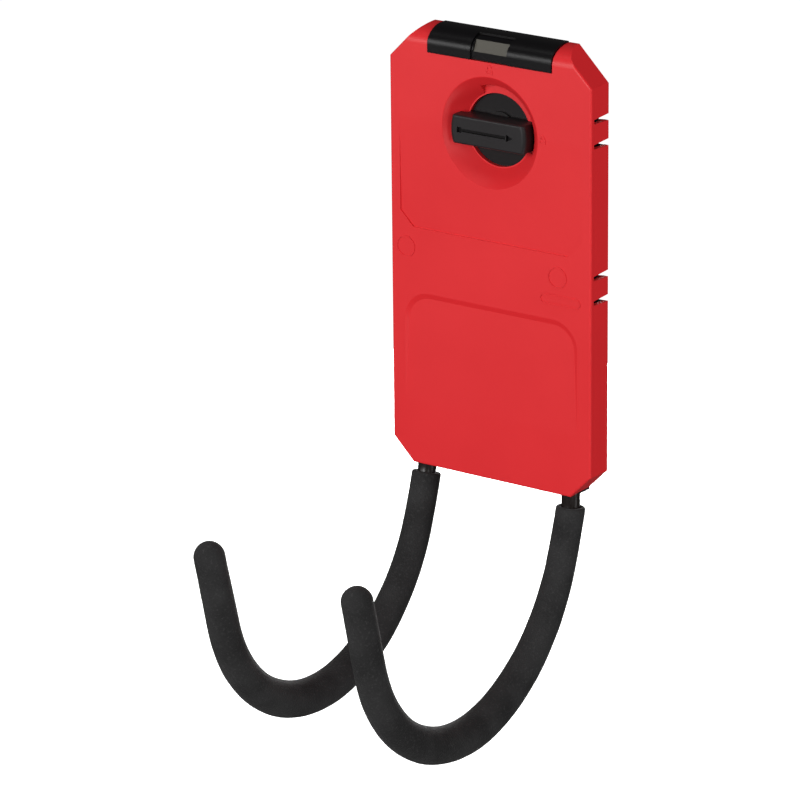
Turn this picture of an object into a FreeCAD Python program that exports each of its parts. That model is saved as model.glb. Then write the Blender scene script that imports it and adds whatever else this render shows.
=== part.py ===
import FreeCAD, Part
import math
import os

Vec = FreeCAD.Vector
RIGHT = Vec(1, 0, 0)
BACK = Vec(0, 1, 0)
UP = Vec(0, 0, 1)

# The origin is the middle of the wall face, with the hooks towards -Y and the top towards +Z.

# How far a cut runs past a face, and how deep joined shapes run into each other
cut_past = 1.0
join_lap = 0.5

# Red front cover
cover_width = 98.0
cover_height = 187.0
cover_wall = 2.0
cover_stand_off = 8.0
top_chamfer = 14.0
bottom_chamfer = 10.0
front_edge_radius = 0.8
nose_depth = 12.0
nose_height = 7.0

# Sunk fields on the face of the cover, each deepest at one edge and fading out at the other
upper_field_margin = 4.7
upper_field_edge_z = 8.5
upper_field_fade_drop = 38.5
upper_field_depth = 0.6
upper_field_chamfer = 6.5
lower_field_margin = 6.5
lower_field_edge_z = -19.0
lower_field_fade_rise = 27.0
lower_field_depth = 0.8
lower_field_radius = 12.0
lower_field_slope = 2.4

# Slots that free a snap tab in each side wall
upper_tab_drop = 33.0
lower_tab_z = -4.5
tab_slot_pitch = 10.3
slot_inner_height = 1.8
slot_mouth_height = 2.8
slot_front_land = 2.1
tab_catch_reach = 2.8
tab_catch_thick = 1.0
tab_catch_bite = 1.0

# Lock knob, a round disc with a raised turn grip across it
knob_drop = 39.7
grip_length = 36.7
grip_width = 11.9
grip_proud = 1.6
grip_tail_thick = 5.8
grip_foot_gap = 0.3
grip_edge_radius = 0.8
grip_end_radius = 1.7
grip_overhang = 3.4
knob_disc_sink = 1.5
knob_clearance = 0.35
flange_lap = 1.7
flange_thick = 1.5
running_gap = 0.1
hub_step_radius = 7.5
hub_step_height = 1.0
hub_radius = 6.3

# Arrow engraved in the grip: a tail mark, a shaft and a pointed head
arrow_length = 27.2
arrow_tail_length = 2.2
arrow_tail_width = 2.3
arrow_width = 1.4
arrow_head_length = 3.2
arrow_head_width = 3.0
arrow_break = 0.5
arrow_shift = -1.2
engrave_depth = 1.2

# Dish round the knob, with a pocket for the arrow end of the grip that stops it at each end
dish_depth = 7.0
dish_rim_margin = 5.0
dish_floor_margin = 0.85
dish_rim_fillet = 0.6
pocket_margin = 1.1
stop_clearance = 0.8

# Raised outlines moulded on the face: a ring at each side, a lozenge and two padlocks
mark_height = 0.25
mark_line = 0.45
mark_root = 0.4
ring_radius = 4.5
left_ring_margin = 7.3
left_ring_z = -0.2
right_ring_margin = 16.2
right_ring_z = -1.0
lozenge_margin = 14.8
lozenge_z = -10.6
lozenge_half_length = 9.75
lozenge_half_height = 2.1
open_padlock_gap = 3.1
closed_padlock_gap = 2.4
closed_padlock_rise = 1.6
padlock_half_width = 1.5
padlock_body_height = 1.9
shackle_radius = 1.15
shackle_leg = 0.5

# Lock dog behind the base, turned by the knob
dog_square = 8.0
dog_thick = 2.6
dog_reach = 16.5
dog_width = 8.0
dog_hub_radius = 8.0
dog_front_gap = 0.3
washer_radius = 5.0
washer_thick = 0.6
knob_screw_shank = 4.0
knob_screw_head_radius = 4.0
knob_screw_head_height = 1.6
knob_screw_length = 12.0
screw_tip_gap = 1.0
screw_fit = 0.1

# Wave spring under the flange of the knob
spring_inner_radius = 7.2
spring_outer_radius = 10.8
spring_strip = 0.4
spring_waves = 3
spring_steps = 18
spring_seat_depth = 0.8
spring_gap = 0.1

# Rear base and its wall pad
pad_depth = 7.2
pad_side_margin = 18.0
pad_top_margin = 8.9
pad_bottom_margin = 5.0
pad_corner_radius = 4.0
pad_rim_chamfer = 1.0
base_thick = 2.0
base_gap = 0.3
tab_notch_depth = 2.4
tab_ear_gap = 0.4

# Sockets that drop over the heads of a wall rail
upper_socket_drop = 33.5
lower_socket_rise = 27.5
mouth_height = 11.0
mouth_half_width = 13.0
neck_half_width = 7.0
neck_height = 9.5
socket_lip = 1.8
socket_depth = 6.4
mouth_radius = 2.0

# Weight pockets in the back of the pad, between the dog and the lower socket
pocket_columns = 3
pocket_rows = 4
pocket_side_margin = 5.0
pocket_dog_gap = 22.8
pocket_socket_gap = 5.5
pocket_corner = 1.5
rib_thick = 2.2
pocket_depth = 4.6

# Top bar and its blank label
bar_end_margin = 19.0
bar_height = 10.0
bar_proud = 0.4
bar_gap = 0.3
bar_round_height = 7.0
bar_round_depth = 10.5
bar_wall = 2.4
bar_middle_half_length = 9.0
bar_middle_sink = 0.8
bar_middle_back = 6.6
label_half_length = 8.1
label_width = 5.1
label_thick = 0.4
label_gap = 0.05
label_rise = 5.5
label_setback = 1.6
label_lean = 65.0
peg_radius = 2.0
peg_end_margin = 12.0
peg_head_radius = 3.0
peg_head_height = 1.2
peg_rise = 0.8

# Steel core plate, welded behind the rods
core_thick = 1.8
core_side_margin = 7.0
core_top_margin = 13.5
core_bottom_margin = 5.5
core_corner = 8.0
core_knob_gap = 0.6
core_hole_rise = 30.0
core_hole_drop = 47.8
core_hole_count = 3
core_hole_share = 0.34
weld_leg = 2.2
weld_length = 16.0
weld_count = 2
weld_top_gap = 6.0
weld_seat_share = 0.6

# Hook rods, one each side, and the bends of each hook from the exit to the tip, as shares of its reach
hook_reach = 163.0
bend_shares = (0.086, 1.411, 0.4988, 0.3957)
bend_angles = (15.3, 5.7, 48.9, 95.9)
tip_share = 0.2006
rod_diameter = 7.8
rod_side_margin = 13.2
rod_hold_length = 51.5
rod_bed_gap = 0.1
rod_bed_wall = 1.6
rod_straight_end = 1.0
right_hook_drop = 3.6
rod_end_chamfer = 0.8
saddle_spread = 3.0
saddle_lap = 1.0
saddle_shares = (0.42, 0.85)
exit_slot_gap = 0.3
exit_slot_rise = 2.0

# Foam sleeves, whose diameter grows round the bottom of the hook and shrinks again to the tip
foam_start_gap = 4.9
right_foam_drop = 1.2
foam_start_diameter = 12.3
foam_bottom_diameter = 15.5
foam_tip_diameter = 12.9
foam_widest_at = 0.62
foam_stations = 15
foam_bore_gap = 0.05

# Screws that hold the cover, core plate and base together
screw_shank = 3.0
screw_head_radius = 3.0
screw_head_height = 2.0
screw_engage = 6.5
boss_radius = 3.5
boss_gap = 0.3
screw_well_gap = 0.6
screw_side_margin = 12.0
upper_screw_drop = 23.5
middle_screw_z = 14.0
lower_screw_rise = 11.5
lower_screw_gap = 12.8

# Edges of the cover and places set out from them
cover_half = cover_width / 2
cover_top_z = cover_height / 2
cover_bottom_z = -cover_height / 2
nose_round_z = cover_top_z - nose_height
knob_z = cover_top_z - knob_drop
tab_heights = (cover_top_z - upper_tab_drop, lower_tab_z)
upper_field_half_width = cover_half - upper_field_margin
upper_field_fade_z = cover_top_z - upper_field_fade_drop
lower_field_half_width = cover_half - lower_field_margin
lower_field_fade_z = cover_bottom_z + lower_field_fade_rise
pad_half_width = cover_half - pad_side_margin
pad_top_z = cover_top_z - pad_top_margin
pad_bottom_z = cover_bottom_z + pad_bottom_margin
socket_mouth_z = (cover_top_z - upper_socket_drop, cover_bottom_z + lower_socket_rise)
pocket_field_half_width = pad_half_width - pocket_side_margin
pocket_field_top = knob_z - pocket_dog_gap
pocket_field_bottom = socket_mouth_z[1] + mouth_height + neck_height + pocket_socket_gap
bar_half_length = cover_half - bar_end_margin
bar_bottom_z = cover_top_z - bar_height
peg_x = bar_half_length - peg_end_margin
core_half_width = cover_half - core_side_margin
core_top_z = cover_top_z - core_top_margin
core_bottom_z = cover_bottom_z + core_bottom_margin
core_hole_z = core_bottom_z + core_hole_rise
core_hole_pitch = (knob_z - core_hole_drop - core_hole_z) / (core_hole_count - 1)
core_hole_radius = core_hole_pitch * core_hole_share
rod_x = cover_half - rod_side_margin
rod_top_z = cover_bottom_z + rod_hold_length
rod_start_z = cover_bottom_z - rod_straight_end
bend_radii = [hook_reach * share for share in bend_shares]
tip_run = hook_reach * tip_share
upper_screw = (cover_half - screw_side_margin, cover_top_z - upper_screw_drop)
middle_screw = (cover_half - screw_side_margin, middle_screw_z)
lower_screw = (rod_x - lower_screw_gap, cover_bottom_z + lower_screw_rise)

# Round sizes that follow the grip, so that it always clears its dish
knob_disc_radius = grip_length / 2 - grip_overhang
dish_rim_radius = grip_length / 2 + dish_rim_margin
dish_floor_radius = knob_disc_radius + dish_floor_margin
pocket_radius = grip_length / 2 + pocket_margin
dish_hole_radius = knob_disc_radius + knob_clearance
flange_radius = dish_hole_radius + flange_lap

# Positions through the depth, worked out from the wall face forwards
base_back_y = -pad_depth
base_front_y = base_back_y - base_thick
core_front_y = base_front_y - core_thick
rod_radius = rod_diameter / 2
rod_y = core_front_y - rod_radius
cover_front_y = core_front_y - rod_diameter - rod_bed_gap - rod_bed_wall
cover_inner_y = cover_front_y + cover_wall
cover_back_y = -cover_stand_off
dish_floor_y = cover_front_y + dish_depth
dish_back_y = dish_floor_y + cover_wall
disc_front_y = dish_floor_y + knob_disc_sink
grip_front_y = cover_front_y - grip_proud
flange_front_y = dish_back_y + running_gap
flange_back_y = flange_front_y + flange_thick
spring_seat_y = base_front_y + spring_seat_depth
dog_back_y = -knob_screw_head_height - washer_thick - running_gap
dog_front_y = dog_back_y - dog_thick
dog_pocket_y = dog_front_y - dog_front_gap


def box(x0, x1, y0, y1, z0, z1):
    return Part.makeBox(x1 - x0, y1 - y0, z1 - z0, Vec(x0, y0, z0))


def disc(radius, x, z, y0, y1):
    """Round solid on an axis along Y."""
    return Part.makeCylinder(radius, y1 - y0, Vec(x, y0, z), BACK)


def plate(points, y0, y1):
    """Flat plate with an outline given as (x, z) corners."""
    corners = [Vec(x, y0, z) for x, z in points]
    face = Part.Face(Part.makePolygon(corners + corners[:1]))
    return face.extrude(Vec(0, y1 - y0, 0))


def side_profile(points, x0, x1):
    """Solid with a side outline given as (y, z) corners."""
    corners = [Vec(x0, y, z) for y, z in points]
    face = Part.Face(Part.makePolygon(corners + corners[:1]))
    return face.extrude(Vec(x1 - x0, 0, 0))


def mirrored(shape):
    """The same shape on the left side."""
    return shape.mirror(Vec(0, 0, 0), RIGHT)


def both_sides(shapes):
    return shapes + [mirrored(shape) for shape in shapes]


def cut_all(shape, tools):
    for tool in tools:
        shape = shape.cut(tool)
    return shape


def fuse_all(shapes):
    return shapes[0].multiFuse(shapes[1:]).removeSplitter()


def rounded_box(x0, x1, y0, y1, z0, z1, radius):
    """Box whose edges along Y are rounded."""
    block = box(x0, x1, y0, y1, z0, z1)
    edges = [e for e in block.Edges if abs(e.tangentAt(e.FirstParameter).y) > 0.9]
    return block.makeFillet(radius, edges)


def cover_outline(inset):
    """Eight-sided outline of the cover, moved inwards by a distance."""
    half = cover_width / 2 - inset
    top = cover_top_z - inset
    bottom = cover_bottom_z + inset
    corner_loss = inset * (2 - math.sqrt(2))
    upper = top_chamfer - corner_loss
    lower = bottom_chamfer - corner_loss
    right = [(half - lower, bottom), (half, bottom + lower), (half, top - upper), (half - upper, top)]
    left = [(-x, z) for x, z in reversed(right)]
    return right + left


def nose_profile(front_y, round_z, depth, height, x0, x1):
    """Side section that rolls over at the top, as a quarter of an ellipse."""
    shoulder = Vec(x0, front_y, round_z)
    crown = Vec(x0, front_y + depth, round_z + height)
    centre = Vec(x0, front_y + depth, round_z)
    if depth >= height:
        curve = Part.Ellipse(shoulder, crown, centre)
        arc = curve.toShape(0, math.pi / 2)
    else:
        curve = Part.Ellipse(crown, shoulder, centre)
        arc = curve.toShape(-math.pi / 2, 0)
    low = cover_bottom_z - 1
    back = 1.0
    foot = Vec(x0, front_y, low)
    heel = Vec(x0, back, low)
    top = Vec(x0, back, round_z + height)
    edges = [Part.makeLine(foot, shoulder), arc, Part.makeLine(crown, top)]
    edges += [Part.makeLine(top, heel), Part.makeLine(heel, foot)]
    wire = Part.Wire(Part.__sortEdges__(edges))
    return Part.Face(wire).extrude(Vec(x1 - x0, 0, 0))


def cover_body(inset, back_y):
    """Rolled-over block of the cover, at its skin or moved inwards."""
    front = cover_front_y + inset
    block = plate(cover_outline(inset), front, back_y)
    if inset == 0:
        top = cover_top_z - 0.01
        rim = [e for e in block.Edges
               if all(abs(v.Point.y - front) < 0.01 for v in e.Vertexes)
               and not all(v.Point.z > top for v in e.Vertexes)]
        block = block.makeFillet(front_edge_radius, rim)
    half = cover_width / 2
    nose = nose_profile(front, nose_round_z, nose_depth - inset, nose_height - inset, -half, half)
    return block.common(nose)


def sunk_fields():
    """Two shallow wedges that sink fields into the face."""
    front = cover_front_y
    half = upper_field_half_width
    low = upper_field_edge_z
    corner = upper_field_chamfer
    high = upper_field_fade_z
    outline = [(-half + corner, low), (half - corner, low), (half, low + corner)]
    outline += [(half, high), (-half, high), (-half, low + corner)]
    slope = [(front - 1, low), (front + upper_field_depth, low), (front, high), (front - 1, high)]
    upper = plate(outline, front - 1, front + 1).common(side_profile(slope, -half, half))
    return [upper, lower_field()]


def field_ring(grow, y):
    """Rounded outline of the lower field, grown by a distance."""
    half = lower_field_half_width + grow
    low = lower_field_fade_z - 2 * lower_field_radius
    high = lower_field_edge_z + grow
    block = rounded_box(-half, half, y, y + 1, low, high, lower_field_radius + grow)
    return [face for face in block.Faces if face.BoundBox.YMax < y + 0.01][0].OuterWire


def lower_field():
    """Wedge with sloping sides, deepest at its upper edge."""
    front = cover_front_y
    depth = lower_field_depth
    slope = lower_field_slope
    mouth = field_ring(slope / depth, front - 1)
    floor = field_ring(-slope, front + depth)
    tray = Part.makeLoft([mouth, floor], True, True)
    high = lower_field_edge_z + 2 * slope
    low = lower_field_fade_z
    profile = [(front - 1, high), (front + depth, high), (front + depth, lower_field_edge_z), (front, low)]
    profile += [(front - 1, low)]
    return tray.common(side_profile(profile, -cover_half, cover_half))


def arrow_pocket():
    """Quarter pocket swept by the arrow end of the grip, with a stop wall at each end."""
    reach = grip_width / 2 + stop_clearance
    far = pocket_radius + 1
    swept = disc(pocket_radius, 0, knob_z, cover_front_y, dish_floor_y)
    return swept.common(box(-reach, far, cover_front_y, dish_floor_y, knob_z - reach, knob_z + far))


def turned(points):
    """Solid of revolution on the axis of the knob, from (radius, y) corners."""
    corners = [Vec(radius, y, knob_z) for radius, y in points]
    face = Part.Face(Part.makePolygon(corners + corners[:1]))
    return face.revolve(Vec(0, 0, knob_z), BACK, 360)


def dish_cup():
    """Back of the dish, a cup that carries the knob."""
    outer = pocket_radius + cover_wall
    rim = dish_rim_radius + cover_wall
    middle_y = (cover_front_y + dish_floor_y) / 2
    points = [(0, cover_inner_y), (rim, cover_inner_y), (outer, middle_y + cover_wall)]
    points += [(outer, dish_back_y), (0, dish_back_y)]
    return turned(points)


def dish_cone():
    front = cover_front_y
    slope = (dish_rim_radius - dish_floor_radius) / dish_depth
    mouth = dish_rim_radius + slope
    return turned([(0, front - 1), (mouth, front - 1), (dish_floor_radius, dish_floor_y), (0, dish_floor_y)])


def sink_dish(shape):
    """Cut the dish into the cover, round its rim, and add the pocket and the hole for the knob."""
    shape = shape.cut(dish_cone())
    rim = [e for e in shape.Edges
           if e.Closed and e.BoundBox.YLength < 0.01
           and abs(e.BoundBox.YMin - cover_front_y) < 0.01
           and abs(e.BoundBox.XMax - dish_rim_radius) < 0.1]
    shape = shape.makeFillet(dish_rim_fillet, rim)
    hole = disc(dish_hole_radius, 0, knob_z, cover_front_y, dish_back_y + 1)
    return shape.cut(arrow_pocket()).cut(hole)


def slot_heights():
    """Middle heights of the side slots, two for each tab."""
    return [z + side * tab_slot_pitch / 2 for z in tab_heights for side in (1, -1)]


def side_slots():
    """Tapered slots in the right wall."""
    inner = cover_front_y + slot_front_land
    half = cover_width / 2
    slots = []
    for z in slot_heights():
        a = slot_inner_height / 2
        b = slot_mouth_height / 2
        points = [(inner, z - a), (inner, z + a), (cover_back_y + 0.01, z + b), (cover_back_y + 0.01, z - b)]
        slots.append(side_profile(points, half - cover_wall - cut_past, half + cut_past))
    return slots


def tab_catches():
    """Small wedges on the right tabs that snap behind the base."""
    inner = cover_width / 2 - cover_wall
    half = (tab_slot_pitch - slot_mouth_height) / 2
    catches = []
    for z in tab_heights:
        front = cover_back_y - tab_catch_thick
        points = [(inner, front), (inner - tab_catch_reach, front), (inner, cover_back_y)]
        face = Part.Face(Part.makePolygon([Vec(x, y, z - half) for x, y in points + points[:1]]))
        catches.append(face.extrude(Vec(0, 0, 2 * half)))
    return catches


def screw_points():
    return [(side * x, z) for x, z in (upper_screw, middle_screw, lower_screw) for side in (1, -1)]


def rod_drop(side):
    """The right hook is bent a little lower than the left one."""
    return right_hook_drop if side > 0 else 0.0


def exit_slots():
    """Slots in the floor of the cover, open at the back, where the rods leave."""
    radius = rod_radius + exit_slot_gap
    low = cover_bottom_z - 1
    high = cover_bottom_z + cover_wall + exit_slot_rise
    hole = Part.makeCylinder(radius, high - low, Vec(rod_x, rod_y, low), UP)
    way = box(rod_x - radius, rod_x + radius, rod_y, cover_back_y + 1, low, high)
    return both_sides([hole.fuse(way)])


def rod_beds():
    """Half-round beds in the front wall that hold the rods from the front."""
    radius = rod_radius + rod_bed_gap
    low = cover_bottom_z + cover_wall / 2
    bed = Part.makeCylinder(radius, rod_top_z + 1 - low, Vec(rod_x, rod_y, low), UP)
    return both_sides([bed])


def rod_saddles():
    """Cross ribs that hold each rod from the sides."""
    ribs = []
    spread = rod_radius + saddle_spread
    back = rod_y + saddle_lap
    for share in saddle_shares:
        z = cover_bottom_z + share * rod_hold_length
        ribs.append(box(rod_x - spread, rod_x + spread, cover_inner_y - join_lap, back, z, z + cover_wall))
    return both_sides(ribs)


def front_cover():
    shell = cover_body(0, cover_back_y).cut(cover_body(cover_wall, cover_back_y + 1))
    added = [dish_cup()]
    added += [disc(boss_radius, x, z, cover_inner_y - join_lap, base_front_y) for x, z in screw_points()]
    added += rod_saddles()
    added += both_sides(tab_catches())
    shape = sink_dish(fuse_all([shell] + added))
    notch_half = bar_half_length + bar_gap
    notch_low = bar_bottom_z - bar_gap
    notch = box(-notch_half, notch_half, cover_front_y - 1, cover_back_y + 1, notch_low, cover_top_z + 1)
    bores = [disc(screw_shank / 2 + screw_fit / 2, x, z, base_front_y - screw_engage, base_front_y + 1)
             for x, z in screw_points()]
    cuts = [notch] + sunk_fields() + both_sides(side_slots())
    shape = cut_all(shape, cuts + exit_slots() + rod_beds() + bores)
    return fuse_all([shape] + raised_marks())


def mark_disc(radius, x, z):
    return disc(radius, x, z, cover_front_y - mark_height, cover_front_y + mark_root)


def mark_box(x0, x1, z0, z1, radius=0):
    front = cover_front_y - mark_height
    back = cover_front_y + mark_root
    if radius:
        return rounded_box(x0, x1, front, back, z0, z1, radius)
    return box(x0, x1, front, back, z0, z1)


def ring_mark(x, z):
    return mark_disc(ring_radius, x, z).cut(mark_disc(ring_radius - mark_line, x, z))


def lozenge_mark(x, z):
    length = lozenge_half_length
    height = lozenge_half_height
    line = mark_line
    outer = mark_box(x - length, x + length, z - height, z + height, height - 0.01)
    length -= line
    height -= line
    return outer.cut(mark_box(x - length, x + length, z - height, z + height, height - 0.01))


def padlock_mark(x, z, is_open):
    """Small padlock outline; an open one has its shackle raised and one leg short."""
    half = padlock_half_width
    line = mark_line
    body = mark_box(x - half, x + half, z - padlock_body_height, z)
    body = body.cut(mark_box(x - half + line, x + half - line, z - padlock_body_height + line, z - line))
    lift = shackle_leg if is_open else 0
    crown_z = z + shackle_leg + lift
    hoop = mark_disc(shackle_radius, x, crown_z).cut(mark_disc(shackle_radius - line, x, crown_z))
    hoop = hoop.common(mark_box(x - half, x + half, crown_z, crown_z + half))
    left_leg = mark_box(x - shackle_radius, x - shackle_radius + line, z - line, crown_z)
    right_foot_z = crown_z - lift if is_open else z - line
    right_leg = mark_box(x + shackle_radius - line, x + shackle_radius, right_foot_z, crown_z)
    return fuse_all([body, hoop, left_leg, right_leg])


def raised_marks():
    marks = [ring_mark(left_ring_margin - cover_half, left_ring_z)]
    marks.append(ring_mark(cover_half - right_ring_margin, right_ring_z))
    marks.append(lozenge_mark(cover_half - lozenge_margin, lozenge_z))
    marks.append(padlock_mark(0, knob_z + dish_rim_radius + open_padlock_gap, True))
    marks.append(padlock_mark(dish_rim_radius + closed_padlock_gap, knob_z + closed_padlock_rise, False))
    return marks


def cleat_socket(z):
    """Wide mouth below, and a narrow neck with an undercut above it."""
    floor = -socket_depth
    wide = mouth_half_width
    mouth = rounded_box(-wide, wide, floor, cut_past, z, z + mouth_height, mouth_radius)
    top = z + mouth_height + neck_height
    half = neck_half_width
    neck = rounded_box(-half, half, floor, cut_past, z + mouth_height - 2 * half, top, half - 0.01)
    undercut = box(-wide + 1, wide - 1, floor, -socket_lip, z + mouth_height - 1, top)
    return [mouth, neck.common(box(-half, half, floor, cut_past, z + 1, top)), undercut]


def dog_pocket():
    """Room for the lock dog to turn a quarter, walls at both ends as stops."""
    radius = dog_reach + stop_clearance
    reach = dog_width / 2 + stop_clearance
    swing = disc(radius, 0, knob_z, dog_pocket_y, cut_past)
    quarter = swing.common(box(-radius, reach, dog_pocket_y, cut_past, knob_z - reach, knob_z + radius))
    return [quarter, disc(dog_hub_radius + stop_clearance, 0, knob_z, dog_pocket_y, cut_past)]


def weight_pockets():
    cell_x = (2 * pocket_field_half_width + rib_thick) / pocket_columns
    cell_z = (pocket_field_top - pocket_field_bottom + rib_thick) / pocket_rows
    pockets = []
    for column in range(pocket_columns):
        for row in range(pocket_rows):
            x = -pocket_field_half_width + column * cell_x
            z = pocket_field_bottom + row * cell_z
            right = x + cell_x - rib_thick
            high = z + cell_z - rib_thick
            pockets.append(rounded_box(x, right, -pocket_depth, cut_past, z, high, pocket_corner))
    return pockets


def tab_notches():
    """Steps in the right edge of the base that leave the side slots open, with an ear for each tab."""
    edge = cover_width / 2 - cover_wall
    ear_half = (tab_slot_pitch - slot_mouth_height) / 2 - tab_ear_gap
    half = (tab_slot_pitch + slot_mouth_height) / 2 + tab_ear_gap
    notches = []
    for z in tab_heights:
        for low, high in ((z - half, z - ear_half), (z + ear_half, z + half)):
            notches.append(box(edge - tab_notch_depth, edge + 1, base_front_y - 1, 0, low, high))
        relief_front = cover_back_y - tab_catch_thick - running_gap
        inner = edge - tab_catch_reach - tab_ear_gap
        notches.append(box(inner, edge + 1, relief_front, 0, z - half, z + half))
    return notches


def tab_ears():
    """Lips on the right edge of the base, just in front of the catches that hold them."""
    inner = core_half_width + tab_ear_gap
    outer = cover_width / 2 - cover_wall - tab_catch_reach + tab_catch_bite
    back = cover_back_y - tab_catch_thick - running_gap
    half = (tab_slot_pitch - slot_mouth_height) / 2 - tab_ear_gap
    return [box(inner, outer, core_front_y, back, z - half, z + half) for z in tab_heights]


def exit_tongues():
    """Tongues of the base that close the exit slots behind the rods."""
    half = rod_radius + exit_slot_gap - rod_bed_gap
    low = cover_bottom_z
    high = cover_bottom_z + cover_wall + exit_slot_rise / 2
    tongue = box(rod_x - half, rod_x + half, rod_y, base_back_y, low, high)
    return both_sides([tongue.cut(rod_round(rod_radius + rod_bed_gap))])


def rear_base():
    outline = cover_outline(cover_wall + base_gap)
    plate_part = plate(outline, base_front_y, base_back_y)
    half = pad_half_width
    root = base_back_y - join_lap
    pad = rounded_box(-half, half, root, 0, pad_bottom_z, pad_top_z, pad_corner_radius)
    back_rim = [e for e in pad.Edges if all(abs(v.Point.y) < 0.01 for v in e.Vertexes)]
    pad = pad.makeChamfer(pad_rim_chamfer, back_rim)
    shape = fuse_all([plate_part, pad] + exit_tongues() + both_sides(tab_ears()))
    cuts = both_sides(tab_notches()) + dog_pocket() + weight_pockets()
    for z in socket_mouth_z:
        cuts += cleat_socket(z)
    cuts.append(disc(hub_radius + running_gap * 2, 0, knob_z, base_front_y - 1, 0))
    cuts.append(disc(spring_outer_radius + running_gap * 3, 0, knob_z, base_front_y - 1, spring_seat_y))
    for x, z in screw_points():
        cuts.append(disc(screw_shank / 2 + screw_fit / 2, x, z, base_front_y - cut_past, cut_past))
        cuts.append(disc(screw_head_radius + screw_well_gap, x, z, base_back_y, cut_past))
    for side in (1, -1):
        x = side * peg_x
        cuts.append(disc(peg_radius + screw_fit / 2, x, peg_z(), base_front_y - cut_past, cut_past))
    return cut_all(shape, cuts)


def base_top_z():
    return cover_top_z - cover_wall - base_gap


def peg_z():
    return (bar_bottom_z + base_top_z()) / 2 + peg_rise


def bar_profile(inset, x0, x1):
    """Side section of the bar, at its skin or moved inwards."""
    front = cover_front_y - bar_proud + inset
    top = cover_top_z + bar_proud - inset
    depth = bar_round_depth - inset
    height = bar_round_height - inset
    return nose_profile(front, top - height, depth, height, x0, x1)


def middle_recess():
    """Shallow recess across the front of the bar that ends in a small step on its top."""
    half = bar_middle_half_length
    front = cover_front_y - bar_proud
    block = box(-half, half, front - 1, front + bar_middle_back, bar_bottom_z - 1, cover_top_z + 1)
    return block.cut(bar_profile(bar_middle_sink, -half, half))


def label_block(grow, depth_in, depth_out):
    """Block on the slanted seat of the label, from so deep under the seat to so far above it."""
    half = label_half_length + grow
    length = label_width + 2 * grow
    block = Part.makeBox(2 * half, length, depth_in + depth_out, Vec(-half, -grow, -depth_in))
    block.rotate(Vec(0, 0, 0), RIGHT, label_lean)
    foot_y = cover_front_y - bar_proud + label_setback
    foot_z = bar_bottom_z + label_rise - label_width / 2
    block.translate(Vec(0, foot_y, foot_z))
    return block


def top_bar():
    half = bar_half_length
    middle = bar_middle_half_length
    section = box(-half, half, cover_front_y - 1, cover_back_y, bar_bottom_z, cover_top_z + 1)
    body = bar_profile(0, -half, half).common(section)
    behind = box(-half - 1, half + 1, base_front_y, 0, bar_bottom_z - 1, base_top_z())
    hollow = bar_profile(bar_wall, middle + bar_wall, half - bar_wall)
    room_back = base_front_y - bar_wall
    hollow = hollow.common(box(middle, half, cover_front_y, room_back, bar_bottom_z - 1, cover_top_z))
    cuts = [behind, middle_recess(), label_block(label_gap, 0, label_width)] + both_sides([hollow])
    body = cut_all(body, cuts)
    pegs = []
    for side in (1, -1):
        pegs.append(disc(peg_radius, side * peg_x, peg_z(), base_front_y - join_lap, base_back_y))
        pegs.append(disc(peg_head_radius, side * peg_x, peg_z(), base_back_y, base_back_y + peg_head_height))
    return fuse_all([body] + pegs)


def bar_label():
    return label_block(0, 0, label_thick)


def end_room(sign, clear_y):
    """Everything beside the disc and behind clear_y, on one end of the grip."""
    far = grip_length
    ring = disc(far, 0, knob_z, clear_y, 0).cut(disc(knob_disc_radius, 0, knob_z, clear_y, 0))
    x = sorted((0, sign * far))
    return ring.common(box(x[0], x[1], clear_y, 0, knob_z - far, knob_z + far))


def grip():
    """Turn grip: its arrow end reaches down into the pocket, its tail end hangs over the dish."""
    front = grip_front_y
    half = grip_width / 2
    far = grip_length / 2
    round_end = disc(far, 0, knob_z, front, disc_front_y)
    rim = [e for e in round_end.Edges if e.BoundBox.YMax < front + 0.01]
    round_end = round_end.makeFillet(grip_end_radius, rim)
    block = round_end.common(box(-far, far, front, disc_front_y, knob_z - half, knob_z + half))
    long_edges = [e for e in block.Edges
                  if e.BoundBox.ZLength < 0.01 and e.BoundBox.YMin < disc_front_y - 0.01]
    block = block.makeFillet(grip_edge_radius, long_edges)
    foot = end_room(1, dish_floor_y - grip_foot_gap)
    return block.cut(end_room(-1, front + grip_tail_thick)).cut(foot)


def arrow_cuts():
    """Engraved arrow along the grip: a tail mark, a shaft and a pointed head."""
    front = grip_front_y - 1
    back = grip_front_y + engrave_depth
    start = arrow_shift - arrow_length / 2
    shaft_start = start + arrow_tail_length
    head_start = start + arrow_length - arrow_head_length
    shaft_end = head_start - arrow_break
    tail = box(start, shaft_start, front, back, knob_z - arrow_tail_width / 2, knob_z + arrow_tail_width / 2)
    shaft = box(shaft_start, shaft_end, front, back, knob_z - arrow_width / 2, knob_z + arrow_width / 2)
    half = arrow_head_width / 2
    tip = (head_start + arrow_head_length, knob_z)
    head = plate([(head_start, knob_z - half), tip, (head_start, knob_z + half)], front, back)
    return [tail.fuse(shaft).removeSplitter(), head]


def lock_knob():
    face = disc(knob_disc_radius, 0, knob_z, disc_front_y, flange_front_y)
    step = disc(hub_step_radius, 0, knob_z, disc_front_y - hub_step_height, disc_front_y + join_lap)
    flange = disc(flange_radius, 0, knob_z, flange_front_y, flange_back_y)
    hub = disc(hub_radius, 0, knob_z, flange_back_y - join_lap, dog_front_y - running_gap)
    half = dog_square / 2
    square = box(-half, half, dog_front_y - join_lap, dog_back_y, knob_z - half, knob_z + half)
    square = square.common(disc(hub_radius, 0, knob_z, dog_front_y - 1, dog_back_y))
    body = fuse_all([face, step, flange, hub, square, grip()])
    hole = disc(knob_screw_shank / 2 + screw_fit / 2, 0, knob_z, dog_back_y - knob_screw_length, 0)
    return cut_all(body, arrow_cuts() + [hole])


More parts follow.
